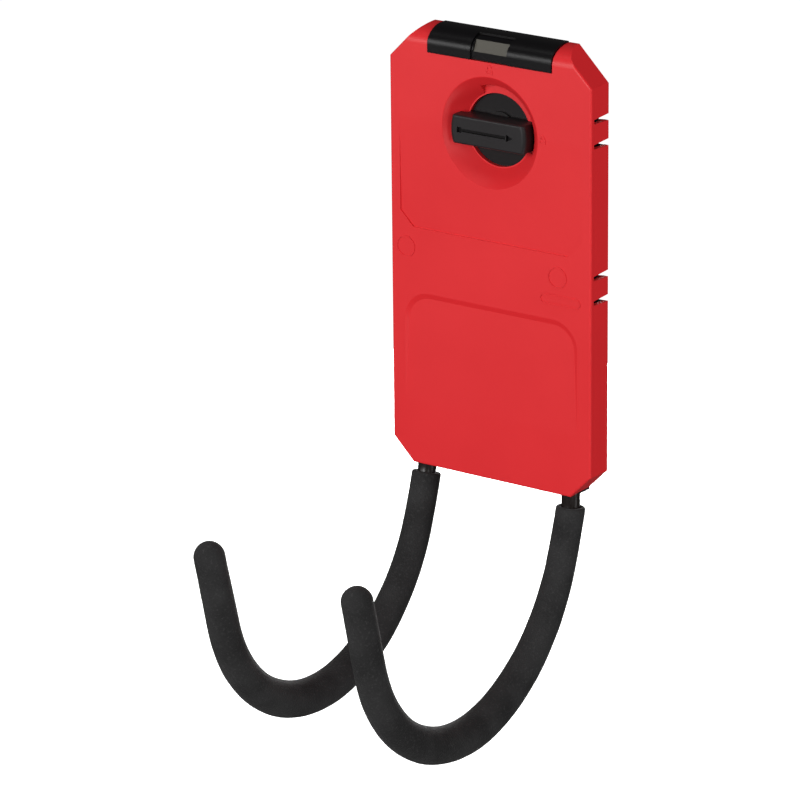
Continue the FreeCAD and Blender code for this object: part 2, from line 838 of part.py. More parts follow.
def lock_dog():
    half = dog_width / 2
    hub = disc(dog_hub_radius, 0, knob_z, dog_front_y, dog_back_y)
    arm = box(-half, half, dog_front_y, dog_back_y, knob_z, knob_z + dog_reach)
    arm = arm.common(disc(dog_reach, 0, knob_z, dog_front_y, dog_back_y))
    socket_half = dog_square / 2 + running_gap
    socket = box(-socket_half, socket_half, dog_front_y - 1, 0, knob_z - socket_half, knob_z + socket_half)
    socket = socket.common(disc(hub_radius + running_gap, 0, knob_z, dog_front_y - 1, 0))
    return hub.fuse(arm).removeSplitter().cut(socket)


def lock_washer():
    ring = disc(washer_radius, 0, knob_z, dog_back_y, dog_back_y + washer_thick)
    return ring.cut(disc(knob_screw_shank / 2 + screw_fit, 0, knob_z, dog_back_y - 1, 0))


def hex_recess(x, z, back_y, size, depth):
    """Six-sided driver recess in the head of a screw."""
    points = [(x + size * math.cos(math.radians(60 * k)), z + size * math.sin(math.radians(60 * k)))
              for k in range(6)]
    return plate(points, back_y - depth, back_y + 1)


def domed_screw(x, z, seat_y, shank, length, head_radius, head_height):
    """Screw that points forwards, its head towards the wall."""
    head = disc(head_radius, x, z, seat_y, seat_y + head_height)
    rim = [e for e in head.Edges
           if len(e.Vertexes) == 1 and abs(e.Vertexes[0].Point.y - seat_y - head_height) < 0.01]
    head = head.makeChamfer(head_height * 0.3, rim)
    body = head.fuse(disc(shank / 2, x, z, seat_y - length, seat_y + 0.2)).removeSplitter()
    return body.cut(hex_recess(x, z, seat_y + head_height, head_radius * 0.45, head_height * 0.6))


def knob_screw():
    seat = dog_back_y + washer_thick
    length = knob_screw_length - washer_thick - screw_tip_gap
    radius = knob_screw_head_radius
    return domed_screw(0, knob_z, seat, knob_screw_shank, length, radius, knob_screw_head_height)


def cover_screws():
    length = base_thick + screw_engage - screw_tip_gap
    screws = [domed_screw(x, z, base_back_y, screw_shank, length, screw_head_radius, screw_head_height)
              for x, z in screw_points()]
    return Part.makeCompound(screws)


def wave_spring():
    """Thin ring bent in waves, squeezed between the flange and the base."""
    front = flange_back_y + spring_gap
    rise = (spring_seat_y - front - spring_strip) / 2
    middle = front + rise
    edges = []
    for radius in (spring_inner_radius, spring_outer_radius):
        points = []
        for k in range(spring_steps):
            angle = 2 * math.pi * k / spring_steps
            y = middle + rise * math.cos(spring_waves * angle)
            points.append(Vec(radius * math.cos(angle), y, knob_z + radius * math.sin(angle)))
        curve = Part.BSplineCurve()
        curve.interpolate(Points=points, PeriodicFlag=True)
        edges.append(curve.toShape())
    return Part.makeRuledSurface(edges[0], edges[1]).extrude(Vec(0, spring_strip, 0))


def core_plate():
    """Steel plate with cut corners, weld beads along the rods and clearance for the knob."""
    half = core_half_width
    cut = core_corner
    outline = [(half - cut, core_bottom_z), (half, core_bottom_z + cut), (half, core_top_z - cut)]
    outline += [(half - cut, core_top_z)]
    outline += [(-x, z) for x, z in reversed(outline)]
    body = plate(outline, core_front_y, base_front_y)
    room = disc(flange_radius + core_knob_gap, 0, knob_z, core_front_y - 1, 0)
    holes = [disc(boss_radius + boss_gap, x, z, core_front_y - 1, 0) for x, z in screw_points()]
    holes += [disc(core_hole_radius, 0, core_hole_z + k * core_hole_pitch, core_front_y - 1, 0)
              for k in range(core_hole_count)]
    body = cut_all(body, [room] + holes)
    return fuse_all([body] + weld_beads())


def weld_beads():
    """Fillet beads in the corner between each rod and the plate."""
    beads = []
    seat = rod_radius * weld_seat_share
    pitch = (rod_top_z - cover_bottom_z - weld_length) / weld_count
    for k in range(weld_count):
        z = rod_top_z - weld_top_gap - weld_length - k * pitch
        for side in (1, -1):
            inner = rod_x + side * seat
            outer = rod_x + side * (seat + weld_leg)
            points = [(inner, core_front_y - weld_leg), (inner, core_front_y), (outer, core_front_y)]
            corners = [Vec(x, y, z) for x, y in points]
            face = Part.Face(Part.makePolygon(corners + corners[:1]))
            bead = face.extrude(Vec(0, 0, weld_length))
            beads.append(bead.cut(rod_round(rod_radius)))
    return both_sides(beads)


def rod_round(radius):
    """Straight part of the right rod, as a plain cylinder."""
    length = rod_top_z - rod_start_z
    return Part.makeCylinder(radius, length, Vec(rod_x, rod_y, rod_start_z), UP)


def hook_path(side):
    """Places and headings along the hook: straight down, through each bend, and up to the tip."""
    y = rod_y
    z = rod_start_z - rod_drop(side)
    turn = 0.0
    legs = [("run", Vec(0, y, rod_top_z), Vec(0, y, z))]
    for radius, degrees in zip(bend_radii, bend_angles):
        end = turn + math.radians(degrees)
        middle = (turn + end) / 2
        centre_y = y - radius * math.cos(turn)
        centre_z = z + radius * math.sin(turn)
        stops = [Vec(0, centre_y + radius * math.cos(a), centre_z - radius * math.sin(a))
                 for a in (turn, middle, end)]
        legs.append(("bend", stops[0], stops[1], stops[2]))
        y = stops[2].y
        z = stops[2].z
        turn = end
    tip = Vec(0, y - tip_run * math.sin(turn), z - tip_run * math.cos(turn))
    legs.append(("run", Vec(0, y, z), tip))
    return legs


def leg_edge(leg):
    if leg[0] == "run":
        return Part.makeLine(leg[1], leg[2])
    return Part.Arc(leg[1], leg[2], leg[3]).toShape()


def hook_rod(side):
    wire = Part.Wire([leg_edge(leg) for leg in hook_path(side)])
    ring = Part.Wire(Part.makeCircle(rod_radius, Vec(0, rod_y, rod_top_z), UP))
    rod = wire.makePipeShell([ring], True, False)
    ends = [e for e in rod.Edges if e.Closed and len(e.Vertexes) == 1]
    flat_ends = [e for e in ends if e.BoundBox.ZLength < 0.01 and e.BoundBox.ZMin > rod_top_z - 0.01]
    if flat_ends:
        rod = rod.makeChamfer(rod_end_chamfer, flat_ends)
    rod.translate(Vec(side * rod_x, 0, 0))
    return rod


def foam_diameter(share):
    """Outer diameter of the sleeve at a share of its length."""
    if share < foam_widest_at:
        climb = share / foam_widest_at
        blend = climb * climb * (3 - 2 * climb)
        return foam_start_diameter + (foam_bottom_diameter - foam_start_diameter) * blend
    climb = (share - foam_widest_at) / (1 - foam_widest_at)
    blend = climb * (2 - climb)
    return foam_bottom_diameter + (foam_tip_diameter - foam_bottom_diameter) * blend


def path_spot(wire, distance):
    """Place on the path and turn in degrees from straight down, at a distance along it."""
    left = distance
    for edge in wire.Edges:
        if left <= edge.Length or edge.isSame(wire.Edges[-1]):
            parameter = edge.getParameterByLength(min(left, edge.Length))
            heading = edge.tangentAt(parameter)
            return edge.valueAt(parameter), math.degrees(math.atan2(-heading.y, -heading.z))
        left -= edge.Length
    return None


def squared_to_path(shape, place, turn):
    """Turn a shape drawn on the vertical until it points along the path, and move it there."""
    shape.rotate(Vec(0, 0, 0), RIGHT, -turn)
    shape.translate(place)
    return shape


def foam_gap(side):
    """Bare length of each rod between the cover and its sleeve."""
    return foam_start_gap + (right_foam_drop if side > 0 else 0.0)


def foam_sleeve(side):
    """Foam tube drawn over the rod, a loft of rings along the path closed by a round tip."""
    wire = Part.Wire([leg_edge(leg) for leg in hook_path(side)])
    start = rod_hold_length + foam_gap(side)
    rings = []
    for k in range(foam_stations):
        share = k / (foam_stations - 1)
        place, turn = path_spot(wire, start + share * (wire.Length - start))
        ring = Part.Wire(Part.makeCircle(foam_diameter(share) / 2))
        rings.append(squared_to_path(ring, place, turn))
    tube = Part.makeLoft(rings, True, False)
    place, turn = path_spot(wire, wire.Length)
    tip = Part.makeSphere(foam_tip_diameter / 2, Vec(0, 0, 0), Vec(0, 0, -1), 0, 90, 360)
    sleeve = tube.fuse(squared_to_path(tip, place, turn))
    sleeve.translate(Vec(side * rod_x, 0, 0))
    return sleeve.cut(foam_bore(side))


def foam_bore(side):
    wire = Part.Wire([leg_edge(leg) for leg in hook_path(side)])
    ring = Part.Wire(Part.makeCircle(rod_radius + foam_bore_gap, Vec(0, rod_y, rod_top_z), UP))
    bore = wire.makePipeShell([ring], True, False)
    bore.translate(Vec(side * rod_x, 0, 0))
    return bore


pieces = {
    "front_cover": front_cover,
    "rear_base": rear_base,
    "top_bar": top_bar,
    "bar_label": bar_label,
    "lock_knob": lock_knob,
    "lock_dog": lock_dog,
    "lock_washer": lock_washer,
    "knob_screw": knob_screw,
    "wave_spring": wave_spring,
    "core_plate": core_plate,
    "cover_screws": cover_screws,
    "left_hook_rod": lambda: hook_rod(-1),
    "right_hook_rod": lambda: hook_rod(1),
    "left_foam_sleeve": lambda: foam_sleeve(-1),
    "right_foam_sleeve": lambda: foam_sleeve(1),
}

os.makedirs("parts", exist_ok=True)
for name, make in pieces.items():
    shape = make()
    shape.exportStep("parts/" + name + ".step")
    print(name, shape.isValid(), len(shape.Solids), round(shape.Volume, 1))
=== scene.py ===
import math
import bpy
from mathutils import Matrix, Vector


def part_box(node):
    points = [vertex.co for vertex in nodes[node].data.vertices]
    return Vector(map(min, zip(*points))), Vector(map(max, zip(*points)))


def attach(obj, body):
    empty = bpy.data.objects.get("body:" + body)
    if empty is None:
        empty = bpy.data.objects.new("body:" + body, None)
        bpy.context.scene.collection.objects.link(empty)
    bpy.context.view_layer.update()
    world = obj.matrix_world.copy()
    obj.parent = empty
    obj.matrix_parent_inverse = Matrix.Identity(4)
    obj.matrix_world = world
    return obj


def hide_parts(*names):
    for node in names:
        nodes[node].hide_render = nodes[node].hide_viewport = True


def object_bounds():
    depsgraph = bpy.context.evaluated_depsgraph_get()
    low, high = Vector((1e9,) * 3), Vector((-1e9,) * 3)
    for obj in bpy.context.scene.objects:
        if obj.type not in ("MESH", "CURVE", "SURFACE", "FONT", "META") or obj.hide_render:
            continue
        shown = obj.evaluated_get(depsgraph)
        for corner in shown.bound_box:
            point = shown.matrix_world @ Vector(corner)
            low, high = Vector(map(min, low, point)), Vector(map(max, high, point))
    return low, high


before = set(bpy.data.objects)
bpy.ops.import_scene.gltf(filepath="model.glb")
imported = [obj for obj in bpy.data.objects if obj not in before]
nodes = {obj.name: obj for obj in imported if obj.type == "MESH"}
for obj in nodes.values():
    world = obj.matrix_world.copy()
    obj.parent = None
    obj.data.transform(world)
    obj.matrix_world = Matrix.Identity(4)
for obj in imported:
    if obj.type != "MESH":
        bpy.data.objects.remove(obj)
cad_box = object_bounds()
low, high = cad_box

# Viewpoint.
# The hook is seen from its front right and a little above, through a long lens, as it hangs.
AIM = Vector((-0.0545, -0.0080, -0.0728))
TURN = math.radians(35.72)
RISE = math.radians(18.71)
ROLL = math.radians(-0.584)
DISTANCE = 2.0744
LENS = 223.5

back = Vector((math.sin(TURN) * math.cos(RISE), -math.cos(TURN) * math.cos(RISE), math.sin(RISE)))
across = Vector((0, 0, 1)).cross(back).normalized()
upward = back.cross(across)
camera_data = bpy.data.cameras.new("camera")
camera_data.sensor_width = 36.0
camera_data.lens = LENS
camera_data.clip_end = 20.0
camera = bpy.data.objects.new("camera", camera_data)
bpy.context.scene.collection.objects.link(camera)
facing = Matrix((across, upward, back)).transposed() @ Matrix.Rotation(ROLL, 3, "Z")
camera.matrix_world = Matrix.Translation(AIM + back * DISTANCE) @ facing.to_4x4()
bpy.context.scene.camera = camera


# Studio sweep.
# A plain white floor well below the hanging hook, which curls up into a wall all round. It is so
# bright that it hardly keeps a shadow, and the low lamp under it shines through.
def shaded_material(name):
    """A material with its node tree and its shader ready for more nodes."""
    material = bpy.data.materials.new(name)
    material.use_nodes = True
    tree = material.node_tree
    return material, tree, tree.nodes["Principled BSDF"]


FLOOR_DROP = 0.42
FLOOR_RADIUS = 4.0
CURL_RADIUS = 1.5
WALL_HEIGHT = 4.0
SWEEP_SIDES = 48
rings = [(FLOOR_RADIUS + CURL_RADIUS * math.sin(a), CURL_RADIUS * (1 - math.cos(a)))
         for a in (math.radians(15 * k) for k in range(7))]
rings.append((FLOOR_RADIUS + CURL_RADIUS, WALL_HEIGHT))
points = [(r * math.cos(a), r * math.sin(a), low.z - FLOOR_DROP + h)
          for r, h in rings for a in (2 * math.pi * k / SWEEP_SIDES for k in range(SWEEP_SIDES))]
faces = [tuple(range(SWEEP_SIDES))]
for row in range(0, len(points) - SWEEP_SIDES, SWEEP_SIDES):
    for k in range(SWEEP_SIDES):
        after = (k + 1) % SWEEP_SIDES
        faces.append((row + after, row + k, row + k + SWEEP_SIDES, row + after + SWEEP_SIDES))
sweep_mesh = bpy.data.meshes.new("sweep")
sweep_mesh.from_pydata(points, [], faces)
sweep = bpy.data.objects.new("sweep", sweep_mesh)
bpy.context.scene.collection.objects.link(sweep)
sweep_paint, tree, shader = shaded_material("white_sweep")
shader.inputs["Base Color"].default_value = (0.93, 0.93, 0.93, 1)
shader.inputs["Roughness"].default_value = 0.9
shader.inputs["Specular IOR Level"].default_value = 0.1
shader.inputs["Emission Color"].default_value = (1, 1, 1, 1)
shader.inputs["Emission Strength"].default_value = 0.94
sweep_mesh.materials.append(sweep_paint)
sweep.visible_diffuse = False
sweep.visible_glossy = False
sweep.visible_shadow = False


# Lamps and room.
# A large soft key just left of the front with a weaker lamp on each side of it, a lamp on the far
# right for the side, one behind for the wall side, and weak light from above and below. Lamps
# without gloss keep the red of the side deep, and a narrow one is only mirrored in the rods.
def softbox(name, azimuth, elevation, away, width, height, power, light=True, gloss=True):
    """Rectangular lamp on a dome round the hook, aimed at the middle of it.

    With light off it is only mirrored, and with gloss off it only lights.
    """
    lamp = bpy.data.lights.new(name, "AREA")
    lamp.shape = "RECTANGLE"
    lamp.size = width
    lamp.size_y = height
    lamp.energy = power
    holder = bpy.data.objects.new(name, lamp)
    bpy.context.scene.collection.objects.link(holder)
    holder.visible_diffuse = light
    holder.visible_glossy = gloss
    a = math.radians(azimuth)
    e = math.radians(elevation)
    out = Vector((math.sin(a) * math.cos(e), -math.cos(a) * math.cos(e), math.sin(e)))
    place = Matrix.Translation((low + high) / 2 + out * away)
    holder.matrix_world = place @ out.to_track_quat("Z", "Y").to_matrix().to_4x4()


softbox("key_lamp", -6, 14, 1.6, 0.8, 0.8, 18.8)
softbox("left_lamp", -44, 13, 1.6, 0.5, 0.7, 6)
softbox("right_lamp", 58, 14, 1.6, 0.3, 1.0, 5)
softbox("side_lamp", 97, 18, 1.6, 0.5, 1.0, 11, gloss=False)
softbox("low_fill", 62, -50, 1.2, 0.7, 0.7, 3.2)
softbox("back_lamp", 202, -10, 1.8, 1.0, 0.8, 30)
softbox("top_strip", -5, 76, 1.3, 1.2, 0.3, 2)
softbox("rod_glint", 101, -19, 1.6, 0.1, 0.6, 1.1, light=False)
room = bpy.data.worlds.new("room")
bpy.context.scene.world = room
room.use_nodes = True
room.node_tree.nodes["Background"].inputs["Color"].default_value = (1, 1, 1, 1)
room.node_tree.nodes["Background"].inputs["Strength"].default_value = 0.05
bpy.context.scene.view_settings.view_transform = "Standard"


# Front cover.
# One red moulding with a fine spark-eroded skin and slow changes of tone.
def moulded_plastic(name, colour, roughness, grain, depth, drift=0.06, shine=0.3):
    """Moulded plastic: fine tool grain as bump, with slow changes of tone and gloss."""
    material, tree, shader = shaded_material(name)
    shader.inputs["Specular IOR Level"].default_value = shine
    place = tree.nodes.new("ShaderNodeTexCoord")
    cloud = tree.nodes.new("ShaderNodeTexNoise")
    cloud.inputs["Scale"].default_value = 22.0
    cloud.inputs["Detail"].default_value = 3.0
    tree.links.new(place.outputs["Object"], cloud.inputs["Vector"])
    tone = tree.nodes.new("ShaderNodeMix")
    tone.data_type = "RGBA"
    tone.inputs[6].default_value = (*[c * (1 - drift) for c in colour], 1)
    tone.inputs[7].default_value = (*[min(1, c * (1 + drift)) for c in colour], 1)
    tree.links.new(cloud.outputs["Fac"], tone.inputs[0])
    tree.links.new(tone.outputs[2], shader.inputs["Base Color"])
    gloss = tree.nodes.new("ShaderNodeMapRange")
    gloss.inputs["To Min"].default_value = roughness - 0.05
    gloss.inputs["To Max"].default_value = roughness + 0.05
    tree.links.new(cloud.outputs["Fac"], gloss.inputs["Value"])
    tree.links.new(gloss.outputs["Result"], shader.inputs["Roughness"])
    skin = tree.nodes.new("ShaderNodeTexNoise")
    skin.inputs["Scale"].default_value = grain
    skin.inputs["Detail"].default_value = 4.0
    tree.links.new(place.outputs["Object"], skin.inputs["Vector"])
    bump = tree.nodes.new("ShaderNodeBump")
    bump.inputs["Strength"].default_value = 0.6
    bump.inputs["Distance"].default_value = depth
    tree.links.new(skin.outputs["Fac"], bump.inputs["Height"])
    tree.links.new(bump.outputs["Normal"], shader.inputs["Normal"])
    return material


def dress(name, material):
    """Give a node its finish in its own slot."""
    slots = nodes[name].data.materials
    slots.clear()
    slots.append(material)


cover_red = moulded_plastic("cover_red", (0.70, 0.0195, 0.0245), 0.42, 1900.0, 0.00004, 0.06, 0.4)
dress("front_cover", cover_red)

# Rear base.
# Black moulding behind the cover, with a coarser grain than the parts that are handled.
base_black = moulded_plastic("base_black", (0.018, 0.018, 0.020), 0.52, 1500.0, 0.00005, 0.15)
dress("rear_base", base_black)

# Top bar and its label.
# Smooth black moulding let into the top edge, with a blank grey film on its slanted seat.
bar_black = moulded_plastic("bar_black", (0.003, 0.0025, 0.003), 0.31, 1000.0, 0.00005, 0.1, 0.32)
dress("top_bar", bar_black)
label_grey = moulded_plastic("label_grey", (0.085, 0.080, 0.066), 0.40, 2500.0, 0.00001, 0.25)
dress("bar_label", label_grey)

# Lock knob.
# Black satin moulding with a raised grip. Painted shade darkens the disc, more the deeper it lies behind
# the grip, and the floor of the engraved arrow, as shade in these recesses; their gloss is taken away too.
KNOB_SHINE = 0.3
ARROW_MIDDLE = -0.0012
ARROW_REACH = 0.0142
ARROW_HALF_WIDTH = 0.0017
ARROW_DEPTH = 0.0008
ARROW_DEPTH_REACH = 0.0005
ARROW_SHADE = 0.6
DISC_FRONT = 0.004
DISC_BACK = 0.007
DISC_SHADE = 0.35
PAINTED_SHADE_BLACK = (0.002, 0.002, 0.002, 1)


def maths(tree, operation, *values):
    """Maths node with its inputs given as numbers or sockets; returns its result."""
    made = tree.nodes.new("ShaderNodeMath")
    made.operation = operation
    for socket, value in zip(made.inputs, values):
        if isinstance(value, (int, float)):
            socket.default_value = value
        else:
            tree.links.new(value, socket)
    return made.outputs[0]


def shade_knob(material, front, middle_height):
    """Paint shade on the arrow's floor and the sunken disc, darkening them, and take their gloss away."""
    tree = material.node_tree
    shader = tree.nodes["Principled BSDF"]
    place = tree.nodes.new("ShaderNodeTexCoord")
    apart = tree.nodes.new("ShaderNodeSeparateXYZ")
    tree.links.new(place.outputs["Object"], apart.inputs[0])
    along, behind, height = apart.outputs
    in_length = maths(tree, "COMPARE", along, ARROW_MIDDLE, ARROW_REACH)
    in_depth = maths(tree, "COMPARE", behind, front + ARROW_DEPTH, ARROW_DEPTH_REACH)
    in_width = maths(tree, "COMPARE", height, middle_height, ARROW_HALF_WIDTH)
    in_arrow = maths(tree, "MULTIPLY", maths(tree, "MULTIPLY", in_length, in_depth), in_width)
    disc = tree.nodes.new("ShaderNodeMapRange")
    disc.inputs["From Min"].default_value = front + DISC_FRONT
    disc.inputs["From Max"].default_value = front + DISC_BACK
    disc.inputs["To Max"].default_value = DISC_SHADE
    tree.links.new(behind, disc.inputs["Value"])
    # Painted shade: the arrow's floor and the deep disc are mixed toward black.
    share = maths(tree, "MULTIPLY_ADD", in_arrow, ARROW_SHADE, disc.outputs["Result"])
    shade = tree.nodes.new("ShaderNodeMix")
    shade.data_type = "RGBA"
    shade.inputs[7].default_value = PAINTED_SHADE_BLACK
    tree.links.new(share, shade.inputs[0])
    tree.links.new(shader.inputs["Base Color"].links[0].from_socket, shade.inputs[6])
    tree.links.new(shade.outputs[2], shader.inputs["Base Color"])
    sheen = tree.nodes.new("ShaderNodeMapRange")
    sheen.inputs["To Min"].default_value = KNOB_SHINE
    sheen.inputs["To Max"].default_value = 0.0
    tree.links.new(share, sheen.inputs["Value"])
    tree.links.new(sheen.outputs["Result"], shader.inputs["Specular IOR Level"])


knob_black = moulded_plastic("knob_black", (0.014, 0.012, 0.013), 0.44, 1700.0, 0.00003, 0.12, KNOB_SHINE)
dress("lock_knob", knob_black)
knob_low, knob_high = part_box("lock_knob")
shade_knob(knob_black, knob_low.y, (knob_low.z + knob_high.z) / 2)


# Lock dog, washer, screws and spring.
# Zinc-plated steel, dull and slightly cloudy.
def plated_metal(name, colour, roughness):
    """Plated steel with cloudy patches of tone and gloss."""
    material, tree, shader = shaded_material(name)
    shader.inputs["Metallic"].default_value = 1.0
    place = tree.nodes.new("ShaderNodeTexCoord")
    cloud = tree.nodes.new("ShaderNodeTexNoise")
    cloud.inputs["Scale"].default_value = 400.0
    cloud.inputs["Detail"].default_value = 5.0
    tree.links.new(place.outputs["Object"], cloud.inputs["Vector"])
    tone = tree.nodes.new("ShaderNodeMix")
    tone.data_type = "RGBA"
    tone.inputs[6].default_value = (*[c * 0.85 for c in colour], 1)
    tone.inputs[7].default_value = (*colour, 1)
    tree.links.new(cloud.outputs["Fac"], tone.inputs[0])
    tree.links.new(tone.outputs[2], shader.inputs["Base Color"])
    gloss = tree.nodes.new("ShaderNodeMapRange")
    gloss.inputs["To Min"].default_value = roughness - 0.08
    gloss.inputs["To Max"].default_value = roughness + 0.1
    tree.links.new(cloud.outputs["Fac"], gloss.inputs["Value"])
    tree.links.new(gloss.outputs["Result"], shader.inputs["Roughness"])
    return material


plated_steel = plated_metal("plated_steel", (0.60, 0.60, 0.58), 0.38)
spring_steel = plated_metal("spring_steel", (0.42, 0.42, 0.44), 0.30)
for name in ("lock_dog", "lock_washer", "knob_screw", "cover_screws"):
    dress(name, plated_steel)
dress("wave_spring", spring_steel)

# Core plate and hook rods.
# Steel under a smooth black coat, welded together inside the cover.
core_steel = moulded_plastic("core_steel", (0.014, 0.014, 0.014), 0.50, 1200.0, 0.00004, 0.15)
dress("core_plate", core_steel)
rod_black = moulded_plastic("rod_black", (0.011, 0.008, 0.007), 0.28, 700.0, 0.00002, 0.15, 0.55)
dress("left_hook_rod", rod_black)
dress("right_hook_rod", rod_black)


# Foam material.
# Charcoal closed-cell foam: pin-size cells, faint paler specks and a soft matt skin.
def cell_foam(name, colour):
    material, tree, shader = shaded_material(name)
    shader.inputs["Roughness"].default_value = 0.9
    shader.inputs["Specular IOR Level"].default_value = 0.15
    shader.inputs["Sheen Weight"].default_value = 0.05
    place = tree.nodes.new("ShaderNodeTexCoord")
    cloud = tree.nodes.new("ShaderNodeTexNoise")
    cloud.inputs["Scale"].default_value = 60.0
    cloud.inputs["Detail"].default_value = 4.0
    cells = tree.nodes.new("ShaderNodeTexVoronoi")
    cells.inputs["Scale"].default_value = 1500.0
    specks = tree.nodes.new("ShaderNodeTexNoise")
    specks.inputs["Scale"].default_value = 1100.0
    specks.inputs["Detail"].default_value = 3.0
    for texture in (cloud, cells, specks):
        tree.links.new(place.outputs["Object"], texture.inputs["Vector"])
    tone = tree.nodes.new("ShaderNodeMix")
    tone.data_type = "RGBA"
    tone.inputs[6].default_value = (*[c * 0.72 for c in colour], 1)
    tone.inputs[7].default_value = (*[c * 1.28 for c in colour], 1)
    patches = tree.nodes.new("ShaderNodeMapRange")
    patches.inputs["From Min"].default_value = 0.35
    patches.inputs["From Max"].default_value = 0.65
    tree.links.new(cloud.outputs["Fac"], patches.inputs["Value"])
    tree.links.new(patches.outputs["Result"], tone.inputs[0])
    pale = tree.nodes.new("ShaderNodeMapRange")
    pale.inputs["From Min"].default_value = 0.55
    pale.inputs["From Max"].default_value = 0.75
    pale.inputs["To Max"].default_value = 0.5
    tree.links.new(specks.outputs["Fac"], pale.inputs["Value"])
    mottled = tree.nodes.new("ShaderNodeMix")
    mottled.data_type = "RGBA"
    mottled.inputs[7].default_value = (*[c * 2.6 for c in colour], 1)
    tree.links.new(pale.outputs["Result"], mottled.inputs[0])
    tree.links.new(tone.outputs[2], mottled.inputs[6])
    tree.links.new(mottled.outputs[2], shader.inputs["Base Color"])
    bump = tree.nodes.new("ShaderNodeBump")
    bump.inputs["Strength"].default_value = 0.7
    bump.inputs["Distance"].default_value = 0.00025
    tree.links.new(cells.outputs["Distance"], bump.inputs["Height"])
    tree.links.new(bump.outputs["Normal"], shader.inputs["Normal"])
    return material


foam_grey = cell_foam("foam_grey", (0.0225, 0.0222, 0.0225))


# Foam sleeves.
# A tube drawn over each rod, thickest at the bottom of the hook, with soft lips and a round
# blind tip. One wall profile is swept along the rod's middle line by a node tree.
BEND_RADII = (0.01402, 0.23000, 0.08130, 0.06450)
BEND_ANGLES = (15.3, 5.7, 48.9, 95.9)
TIP_RUN = 0.0327
ROD_HOLD = 0.0525
SLEEVE_START = {"left": 0.0564, "right": 0.0576}
RIGHT_DROP = 0.0036
START_RADIUS = 0.00615
BOTTOM_RADIUS = 0.00775
TIP_RADIUS = 0.00645
WIDEST_AT = 0.62
LIP = 0.0008
BORE_GAP = 0.00005
STEP = 0.0012
DENT_MIDDLE = 0.6
SKIN_FROM = 1.1


def poly_curve(name, points):
    """Straight-segment curve object through points."""
    curve = bpy.data.curves.new(name, "CURVE")
    curve.dimensions = "3D"
    line = curve.splines.new("POLY")
    line.points.add(len(points) - 1)
    for spot, point in zip(line.points, points):
        spot.co = (*point, 1)
    holder = bpy.data.objects.new(name, curve)
    bpy.context.scene.collection.objects.link(holder)
    return holder


def rod_line(x, y, top, straight, beyond):
    """Middle line of a rod: straight down, through each bend, and straight on past its tip."""
    spot = Vector((x, y, top - straight))
    points = [Vector((x, y, top)), spot]
    turn = 0.0
    for radius, degrees in zip(BEND_RADII, BEND_ANGLES):
        end = turn + math.radians(degrees)
        centre = spot + radius * Vector((0, -math.cos(turn), math.sin(turn)))
        count = max(3, round(radius * (end - turn) / STEP))
        for k in range(1, count + 1):
            a = turn + (end - turn) * k / count
            points.append(centre + radius * Vector((0, math.cos(a), -math.sin(a))))
        spot = points[-1]
        turn = end
    points.append(spot + (TIP_RUN + beyond) * Vector((0, -math.sin(turn), -math.cos(turn))))
    length = straight + sum(r * math.radians(d) for r, d in zip(BEND_RADII, BEND_ANGLES)) + TIP_RUN
    return points, length


def wall_radius(share):
    """Outer radius of the sleeve at a share of its length."""
    if share < WIDEST_AT:
        climb = share / WIDEST_AT
        return START_RADIUS + (BOTTOM_RADIUS - START_RADIUS) * climb * climb * (3 - 2 * climb)
    climb = (share - WIDEST_AT) / (1 - WIDEST_AT)
    return BOTTOM_RADIUS + (TIP_RADIUS - BOTTOM_RADIUS) * climb * (2 - climb)


def wall_profile(start, end, bore):
    """Section of the wall as (distance along the rod, radius): tip, skin, lip, bore and its end."""
    points = [(end + TIP_RADIUS * math.cos(a), TIP_RADIUS * math.sin(a))
              for a in (math.pi / 2 * k / 14 for k in range(14))]
    count = round((end - start - LIP) / (STEP * 1.6))
    for k in range(count + 1):
        share = 1 - k / count * (1 - LIP / (end - start))
        points.append((start + share * (end - start), wall_radius(share)))
    for k in range(1, 6):
        a = math.pi / 2 * k / 5
        points.append((start + LIP * (1 - math.sin(a)), wall_radius(0) - LIP * (1 - math.cos(a))))
    points.append((start, bore))
    count = round((end - start) / (STEP * 3))
    points += [(start + (end - start) * k / count, bore) for k in range(1, count + 1)]
    points.append((end, 0.0))
    return [(distance, radius, 0.0) for distance, radius in points]


